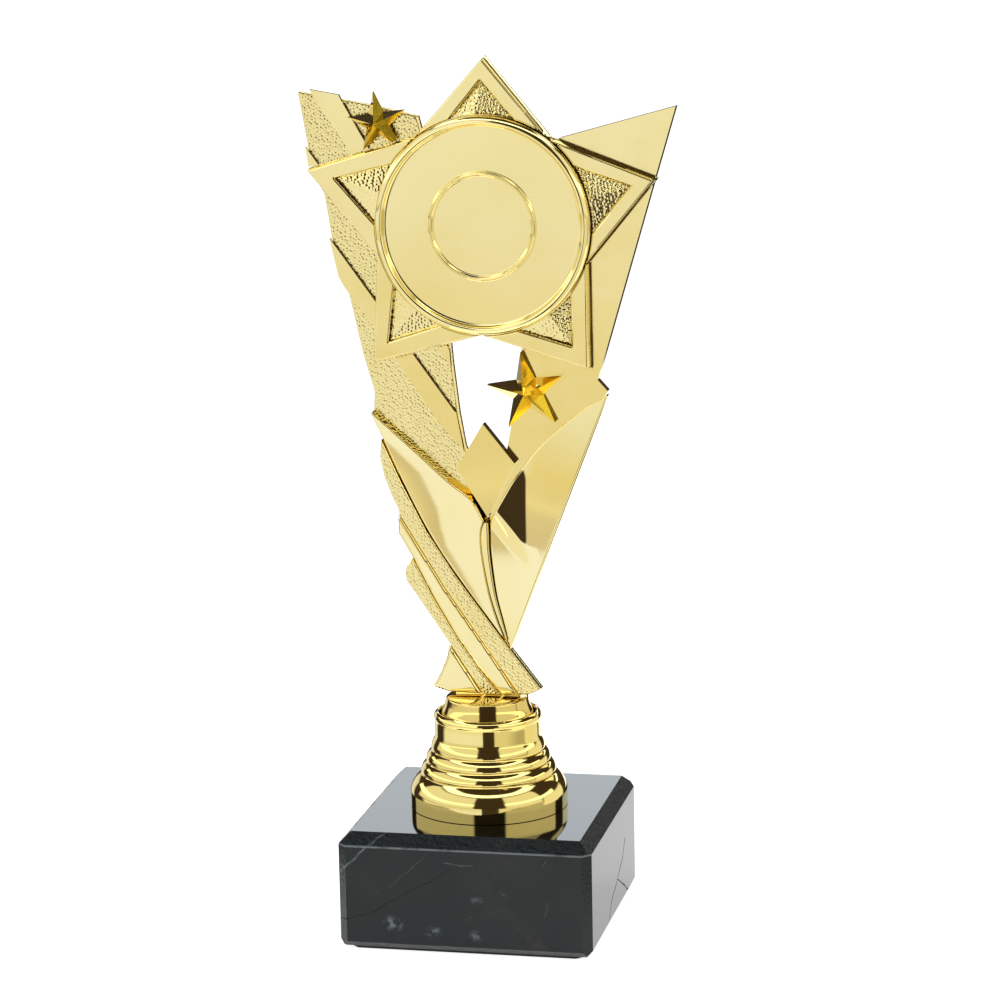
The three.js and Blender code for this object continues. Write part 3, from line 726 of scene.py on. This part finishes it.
def holder_profile():
    out = [(0, SEAT_FRONT)]
    out += [(r, SEAT_FRONT) for r in (4.0, 8.0, 11.5, SEAT_25 - 0.45, SEAT_25 - 0.3)]
    out += curve([
        (SEAT_25 - 0.25, SEAT_FRONT), (SEAT_25, SEAT_FRONT - 0.16),
        (SEAT_25 + 0.2, SEAT_FRONT - 0.5), (SEAT_25 + 0.5, SEAT_FRONT - 0.66),
        (SEAT_25 + 0.8, SEAT_FRONT - 0.5), (SEAT_25 + 1.0, SEAT_FRONT - 0.16),
        (SEAT_25 + 1.25, SEAT_FRONT)], 6)
    out += [(r, SEAT_FRONT) for r in (SEAT_25 + 1.3, SEAT_25 + 1.45, 16.0, 19.0, 22.0,
                                      SEAT_50 - 1.15, SEAT_50 - 1.0)]
    out += curve([
        (SEAT_50 - 0.9, SEAT_FRONT), (SEAT_50 - 0.5, SEAT_FRONT - 0.1),
        (SEAT_50 - 0.15, SEAT_FRONT - 0.5), (SEAT_50 + 0.05, RIM_FRONT + 0.3),
        (SEAT_50 + 0.5, RIM_FRONT + 0.02), (SEAT_50 + 0.95, RIM_FRONT + 0.12),
        (HOLDER_RADIUS - 0.45, RIM_FRONT + 0.5), (HOLDER_RADIUS - 0.1, RIM_FRONT + 1.0),
        (HOLDER_RADIUS, RIM_FRONT + 1.5)], 5)
    out += [(HOLDER_RADIUS, RIM_FRONT + 1.7), (HOLDER_RADIUS, WEB_FRONT),
            (SEAT_50 - 1, WEB_FRONT), (SEAT_50 - 1, SEAT_FRONT + 1.6), (0, SEAT_FRONT + 1.6)]
    return out


lathe("emblem_dish", "emblem_holder", gold_dish, holder_profile(), HOLDER, 320)

# ---- pebbled plates ----

STAR_TIPS = [(2.6, 222.6), (-43.4, 194.4), (-27.2, 145.3), (28.6, 144.5), (45.9, 192.4)]
STAR_NOTCHES = [(-15.4, 202.7), (-25.7, 172.9), (1.1, 152.7), (28.5, 171.3), (19.0, 202.6)]
star = np.array([p for pair in zip(STAR_TIPS, STAR_NOTCHES) for p in pair])
UNDER_STAR = np.array(HOLDER) + (star - np.array(HOLDER)) * 0.93


def pebble_relief(height, seed, taper=0.4):
    def relief(points, distance):
        return height * pebbles(points, PEBBLE_PITCH, seed) * np.clip(distance / taper, 0, 1)
    return relief


relief_plate("wing_pebbled", "wing_left", gold_pebble,
             pebble_relief(0.06, 11), 0.17, covered=UNDER_STAR)
relief_plate("sash_pebbled_upper", "sash_upper", gold_pebble,
             pebble_relief(0.06, 12), 0.165)
relief_plate("sash_pebbled_lower", "sash_lower", gold_pebble,
             pebble_relief(0.06, 13), 0.165)

# The smooth bands between the pebbled ones rise a little towards the upper right.
ACROSS_SASH = np.array([0.83, 0.55])


def tilted(slope, limit, round_off):
    def relief(points, distance):
        across = points @ ACROSS_SASH
        rise = np.clip((across - across.min()) * slope, 0, limit)
        return rise * np.clip(distance / round_off, 0, 1) ** 0.5
    return relief


relief_plate("sash_smooth", "sash_middle", gold_mirror, tilted(0.03, 0.6, 0.8), 0.35)
relief_plate("fin_smooth", "side_fin", gold_mirror, tilted(0.03, 0.6, 0.8), 0.35)

# ---- pebbled triangles of the star ----

# Each arm's apex, the bearings of its first side, ridge and last side where they meet the
# holder, and how far the pebbles stand out on its two facets.
ARMS = {
    "top": ((2.1, 216.8), (72, 93, 107), (0.21, 0.16)),
    "left": ((-35.7, 192.4), (146, 163, 180), (0.16, 0.09)),
    "lower_left": ((-22.8, 151.1), (213, 230, 246), (0.08, 0.08)),
    "lower_right": ((24.3, 150.6), (288, 306, 323), (0.09, 0.21)),
    "right": ((39.8, 190.8), (356, 374, 393), (0.09, 0.21)),
}
WELL_RADIUS = 28.0
FACET_EDGE = -2.4
FACET_RIDGE = -3.4
FACET_PITCH = 0.96


def on_circle(radius, degrees):
    a = math.radians(degrees)
    return np.array([HOLDER[0] + radius * math.cos(a), HOLDER[1] + radius * math.sin(a)])


def facet(name, apex, at, grain, seed, spacing=0.16):
    """Two pebbled planes that meet on the line from the arm's apex to the holder's rim."""
    first, ridge, last = [on_circle(WELL_RADIUS, b) for b in at]
    apex = np.array(apex)
    middle = (apex + first + last) / 3
    corners = [middle + (p - middle) * 0.93 for p in (apex, first, last)]
    rim = [on_circle(WELL_RADIUS - 0.3, b) for b in np.linspace(at[0] + 1, at[2] - 1, 9)]
    ring = np.array([corners[0], corners[1], *rim, corners[2]])

    def relief(points, distance):
        height = np.zeros(len(points))
        amplitude = np.full(len(points), min(grain))
        for side, strength in zip((corners[1], corners[2]), grain):
            basis = np.array([ridge - corners[0], side - corners[0]]).T
            st = np.linalg.solve(basis, (points - corners[0]).T)
            chosen = st[1] >= -1e-9
            height[chosen] = st[0][chosen]
            amplitude[chosen] = strength
        slope = (FACET_EDGE - FACET_RIDGE) * np.clip(height, 0, 1)
        dots = pebbles(points, FACET_PITCH, seed) * np.clip(distance / 0.4, 0, 1)
        return slope + amplitude * dots

    verts, faces = relief_front(ring, relief, spacing, FACET_EDGE)
    return close_back("facet_" + name, "arm_facet_" + name, gold_pebble,
                      verts, faces, WEB_FRONT, PLATE_SHARP)


for seed, (name, (apex, at, grain)) in enumerate(ARMS.items()):
    facet(name, apex, at, grain, 20 + seed)

# ---- star frame ----

STAR_FRONT = -3.5
PANEL_FRONT = 1.0
POCKET_RADIUS = 27.55
# How far in from the edge the surface stands at which depth: a drafted side, then a round.
FRAME_OUTSIDE = [(0, 0.4), (0.4, -3.1), (0.46, -3.3), (0.56, -3.43), (0.7, STAR_FRONT),
                 (0.78, STAR_FRONT), (0.95, STAR_FRONT)]
FRAME_INSIDE = [(0, -3.05), (0.06, -3.27), (0.15, -3.41), (0.28, -3.47), (0.4, STAR_FRONT),
                (0.48, STAR_FRONT), (0.65, STAR_FRONT)]


def inset(ring, by):
    """The ring moved inwards by a distance, with mitred corners. Corners run anticlockwise."""
    before = ring - np.roll(ring, 1, axis=0)
    after = np.roll(ring, -1, axis=0) - ring
    out = []
    for point, a, b in zip(ring, before, after):
        normals = [np.array([-e[1], e[0]]) / np.linalg.norm(e) for e in (a, b)]
        total = normals[0] + normals[1]
        out.append(point + by * total / max(0.15, 1 + normals[0] @ normals[1]))
    return np.array(out)


def well_loop():
    """The edge of the holder's pocket with the five wells that open into it."""
    order = [ARMS[name] for name in ("right", "top", "left", "lower_left", "lower_right")]
    loop = []
    for index, (apex, at, _) in enumerate(order):
        turn = 0 if index == 0 else 360
        following = order[(index + 1) % 5][1][0] + 360
        first, last = at[0] + turn, at[2] + turn
        loop += [on_circle(POCKET_RADIUS, first), np.array(apex), on_circle(POCKET_RADIUS, last)]
        count = max(2, int(abs(following - last) / 2.5))
        loop += [on_circle(POCKET_RADIUS, b) for b in np.linspace(last, following, count + 1)[1:-1]]
    return np.array(loop)


def star_frame_piece():
    step = 0.4
    loop = well_loop()
    rim, hole = resample(star, step), resample(loop, step)
    points = [rim, hole]
    for by, _ in FRAME_OUTSIDE[1:]:
        ring = resample(inset(star, by), step)
        keep = inside(ring, star) & ~inside(ring, loop)
        keep &= (edge_distance(ring, star) > by - 0.02) & (edge_distance(ring, loop) > 0.15)
        points.append(ring[keep])
    for by, _ in FRAME_INSIDE[1:]:
        ring = resample(inset(loop, -by), step)
        keep = inside(ring, star) & ~inside(ring, loop)
        keep &= (edge_distance(ring, loop) > by - 0.02) & (edge_distance(ring, star) > 1.0)
        points.append(ring[keep])
    n_rim, n_hole = len(rim), len(hole)
    edges = [(n_rim + k, n_rim + (k + 1) % n_hole) for k in range(n_hole)]
    flat = [Vector(p) for p in np.concatenate(points)]
    result = delaunay_2d_cdt(flat, edges, [list(range(n_rim))], 1, 1e-5)
    at = np.array([tuple(v) for v in result[0]])
    middles = np.array([at[list(f)].mean(axis=0) for f in result[2]])
    in_hole = inside(middles, loop)
    faces = [list(f) for f, hidden in zip(result[2], in_hole) if not hidden]
    outside = np.interp(edge_distance(at, star), *zip(*FRAME_OUTSIDE))
    within = np.interp(edge_distance(at, loop), *zip(*FRAME_INSIDE))
    y = np.maximum(outside, within)
    verts = np.stack([at[:, 0], y, at[:, 1]], axis=1).tolist()
    return close_back("star_border", "star_frame", gold_flat,
                      verts, faces, PANEL_FRONT, 30, WEB_FRONT)


star_frame_piece()

# ---- leaf, blade and stem ----

LEAF_LINE = [(-25.6, 125.8), (-20.7, 114.9), (-14.4, 102.4), (-7.2, 91.2), (3.8, 76.2)]
STEM_LEFT = smooth_path(
    [(0.7, 105.2), (-0.1, 102.6), (0, 96.9), (1.6, 87), (3.7, 79.5), (5.3, 75.2)])
STEM_RIGHT = smooth_path(
    [(2, 105.2), (2.1, 102.6), (2.2, 97), (3.4, 86.8), (5.1, 79.5), (6.4, 74.1)])


def shifted(line, dx, dz):
    return np.asarray(line) + np.array([dx, dz])


# The leaf leans forward by LEAF_LEAN (slope at each height) along the line LEAF_TURN, more
# to the right of it and less to the left.
LEAF_LEVELS = np.linspace(70, 135, 261)
LEAF_LEAN = 0.0119 + 0.00058 * (LEAF_LEVELS - 115)
LEAF_TURN = np.interp(LEAF_LEVELS, [76, 85.5, 98.5, 108.4, 117.5, 123, 130],
                      [4, -0.9, -8.6, -10.9, -15.4, -21.3, -30])
LEAF_TWIST = 0.0016
LEAF_FOOT = 85.0


def climbed(values, z):
    total = np.cumsum(values) * (LEAF_LEVELS[1] - LEAF_LEVELS[0])
    total = total - np.interp(LEAF_FOOT, LEAF_LEVELS, total)
    return np.interp(z, LEAF_LEVELS, total)


def leaf_depth(u, v, x, z):
    lean = climbed(LEAF_LEAN, z)
    twist = LEAF_TWIST * (x * (z - LEAF_FOOT) - climbed(LEAF_TURN, z))
    return -2.3 - lean - twist


# The blade is flat but for a swelling beside its inner edge, which grows to the left of
# x = SWELL_SIDE between two levels.
SWELL_SIDE = 15.0
SWELL_GROWTH = 0.0167
SWELL_BEND = 5.0
SWELL_SLANT = 1.2


def risen(z, low, high):
    t = np.clip((z - low) / (high - low), 0, 1)
    return t * t * (3 - 2 * t)


def blade_depth(u, v, x, z):
    flat = 2.7 - 0.9 * np.clip(1 - u / 0.5, 0, 1) ** 2 - 0.2 * np.clip((u - 0.85) / 0.15, 0, 1) ** 2
    inward = np.clip(SWELL_SIDE - x, 0, None)
    curved = np.minimum(inward, SWELL_BEND)
    swell = SWELL_GROWTH * (curved ** 2 + 2 * SWELL_BEND * (inward - curved))
    start = z + SWELL_SLANT * (np.clip(x, 2.3, 12.0) - 5.0)
    level = risen(start, 101.0, 107.5) * (1 - risen(z, 116, 127))
    return -flat - swell * level


loft(
    "leaf", "leaf_left", gold_mirror,
    np.vstack([[(-28.4, 132.2)], shifted(smooth_path(LEAF_LINE), 0.2, 0.15)]),
    np.vstack([
        [(-28.1, 132.7)],
        smooth_path([(-26.5, 131.1), (-17, 122.9), (-8.2, 115.1), (-2.6, 110.8), (0.5, 105.6)]),
        shifted(STEM_LEFT, -0.15, 0),
    ]),
    leaf_depth,
    PANEL_FRONT,
    draft=(0.5, 0.65),
)
loft(
    "blade", "blade_right", gold_mirror,
    np.vstack([
        [(32.3, 138.1)],
        smooth_path([(31.6, 137.4), (26.8, 134.6), (17, 126.5), (9.6, 117.7), (5.5, 111.1),
                     (2.3, 105.3)]),
        shifted(STEM_RIGHT, 0.15, 0),
    ]),
    [(32.7, 137.9), (6.9, 72.1)],
    blade_depth,
    PANEL_FRONT,
)
loft(
    "stem", "stem_strip", gold_mirror,
    shifted(STEM_LEFT, 0.15, 0), shifted(STEM_RIGHT, -0.15, 0),
    lambda u, v, x, z: -3.7 + 1.4 * u - 0.08 * np.sin(np.pi * v),
    PANEL_FRONT, 80, 12,
)

# ---- floor and light ----

FLOOR_FRONT = -0.125
FLOOR_BACK = 0.6
FLOOR_HALF = 0.09
FLOOR_GLOW = 0.76


def make_floor():
    mesh = bpy.data.meshes.new("floor")
    mesh.from_pydata(
        [(-FLOOR_HALF, FLOOR_FRONT, 0), (FLOOR_HALF, FLOOR_FRONT, 0),
         (FLOOR_HALF, FLOOR_BACK, 0), (-FLOOR_HALF, FLOOR_BACK, 0)],
        [], [(0, 1, 2, 3)],
    )
    material, n, shader, place = new_material("floor_white")
    tone = n.noise(place, 3.0, 2.0)
    n.feed(shader.inputs["Base Color"], n.mix(tone, (0.93, 0.93, 0.93, 1), (0.95, 0.95, 0.95, 1)))
    shader.inputs["Roughness"].default_value = 0.8
    shader.inputs["Specular IOR Level"].default_value = 0.1
    shader.inputs["Emission Color"].default_value = (1, 1, 1, 1)
    shader.inputs["Emission Strength"].default_value = FLOOR_GLOW
    mesh.materials.append(material)
    floor = bpy.data.objects.new("floor", mesh)
    bpy.context.scene.collection.objects.link(floor)


# Light of the left screen from its foot at -22 degrees up to +2: elevation, colour.
LEFT_SCREEN = [
    (-22.0, (1.00, 1.03, 1.10)),
    (-17.5, (1.00, 1.04, 1.12)),
    (-16.0, (1.06, 1.13, 1.42)),
    (-12.64, (1.06, 1.14, 1.52)),
    (-12.58, (0.74, 0.70, 0.64)),
    (-12.2, (0.76, 0.72, 0.66)),
    (-11.5, (0.95, 0.92, 0.76)),
    (-10.9, (0.88, 0.84, 0.70)),
    (-9.9, (0.90, 0.84, 0.62)),
    (-7.3, (0.95, 1.00, 1.16)),
    (-5.0, (1.00, 1.05, 1.20)),
    (2.0, (1.00, 1.04, 1.15)),
]


SURROUNDINGS = (0.052, 0.038, 0.028)
BACKDROP = (1.2, 1.2, 1.2)

# A zone of light: whether left and right are alike, the azimuths over which it fades in and
# out, the elevations over which it fades in and out, in degrees, with None where it has no
# end. Azimuth counts from the front towards the right.
LEFT_SCREEN_ZONE = (False, ((-104, -92), (0, 2)), (None, (-2, 0)))
# Each zone covers those before it.
ZONES = [
    # Screens to the left and right, above the horizon and below it.
    (False, ((-114.5, -109.5), (-13.5, -8.5)), ((-3, 3), (44, 50)), (1.00, 1.04, 1.10)),
    (False, ((24.5, 27.5), (78.5, 81.5)), (None, (-3, -1)), (0.90, 0.90, 0.84)),
    (False, ((48, 84), (96, 100)), (None, (-3, -1)), (0.58, 0.56, 0.48)),
    (False, ((33.5, 38.5), (93.5, 98.5)), ((-5, 1), (44, 50)), (1.00, 1.02, 1.00)),
    # Screens towards the back.
    (False, ((95, 101), (145, 151)), ((-43, -37), (9, 15)), (1.05, 1.05, 1.00)),
    (False, ((-153, -147), (-133, -127)), ((-33, -27), (9, 15)), (0.95, 0.96, 1.00)),
    # Strip lights in the screens, and one low on the right.
    (False, ((-127.5, -122.5), (-13.5, -8.5)), ((11, 15), (19, 23)), (2.4, 2.4, 2.2)),
    (False, ((33.5, 38.5), (122.5, 127.5)), ((11, 15), (19, 23)), (2.6, 2.5, 2.2)),
    (False, ((56, 72), (98, 106)), (None, (-21, -17)), (1.5, 1.5, 1.4)),
    # Two bands behind and one overhead.
    (True, ((146, 152), None), ((14.4, 16.0), (18.0, 19.6)), (2.2, 2.35, 2.45)),
    (True, ((146, 152), None), ((22, 26), (36, 40)), (1.5, 1.4, 1.0)),
    (True, (None, (125, 138)), ((48, 52), (60, 64)), (2.3, 2.4, 2.6)),
]


def make_light():
    """A studio in the world shader, by direction: screens left and right of a dark gap where
    the camera stands, a bright band overhead and two behind, and dim surroundings."""
    world = bpy.data.worlds.new("studio")
    bpy.context.scene.world = world
    world.use_nodes = True
    n = Nodes(world.node_tree)
    split = n.add("ShaderNodeSeparateXYZ")
    n.feed(split.inputs[0], n.add("ShaderNodeTexCoord").outputs["Generated"])
    x, y, z = split.outputs
    to_degrees = 180 / math.pi
    azimuth = n.math("MULTIPLY", n.math("ARCTAN2", x, n.math("MULTIPLY", y, -1)), to_degrees)
    elevation = n.math("MULTIPLY", n.math("ARCSINE", z), to_degrees)
    aside = n.math("ABSOLUTE", azimuth)

    def zone(mirrored, azimuths, elevations):
        share = None
        for value, (rise, fall) in ((aside if mirrored else azimuth, azimuths),
                                    (elevation, elevations)):
            for fade, start, end in ((rise, 0.0, 1.0), (fall, 1.0, 0.0)):
                if fade:
                    level = n.ramp(value, *fade, start, end)
                    share = level if share is None else n.math("MULTIPLY", share, level)
        return share

    low, high = LEFT_SCREEN[0][0], LEFT_SCREEN[-1][0]
    screen = n.add("ShaderNodeValToRGB")
    stops = screen.color_ramp.elements
    for index, (level, colour) in enumerate(LEFT_SCREEN):
        place = (level - low) / (high - low)
        stop = stops[index] if index < 2 else stops.new(place)
        stop.position = place
        stop.color = (*colour, 1)
    n.feed(screen.inputs[0], n.ramp(elevation, low, high, smooth=False))

    light = n.mix(zone(*LEFT_SCREEN_ZONE), (*SURROUNDINGS, 1), screen.outputs[0])
    for mirrored, azimuths, elevations, colour in ZONES:
        light = n.mix(zone(mirrored, azimuths, elevations), light, (*colour, 1))
    seen = n.add("ShaderNodeLightPath").outputs["Is Camera Ray"]
    light = n.mix(seen, light, (*BACKDROP, 1))
    background = n.add("ShaderNodeBackground")
    n.feed(background.inputs["Color"], light)
    background.inputs["Strength"].default_value = 1.0
    output = n.add("ShaderNodeOutputWorld")
    n.tree.links.new(background.outputs[0], output.inputs["Surface"])


make_floor()
make_light()
bpy.context.scene.view_settings.view_transform = "Standard"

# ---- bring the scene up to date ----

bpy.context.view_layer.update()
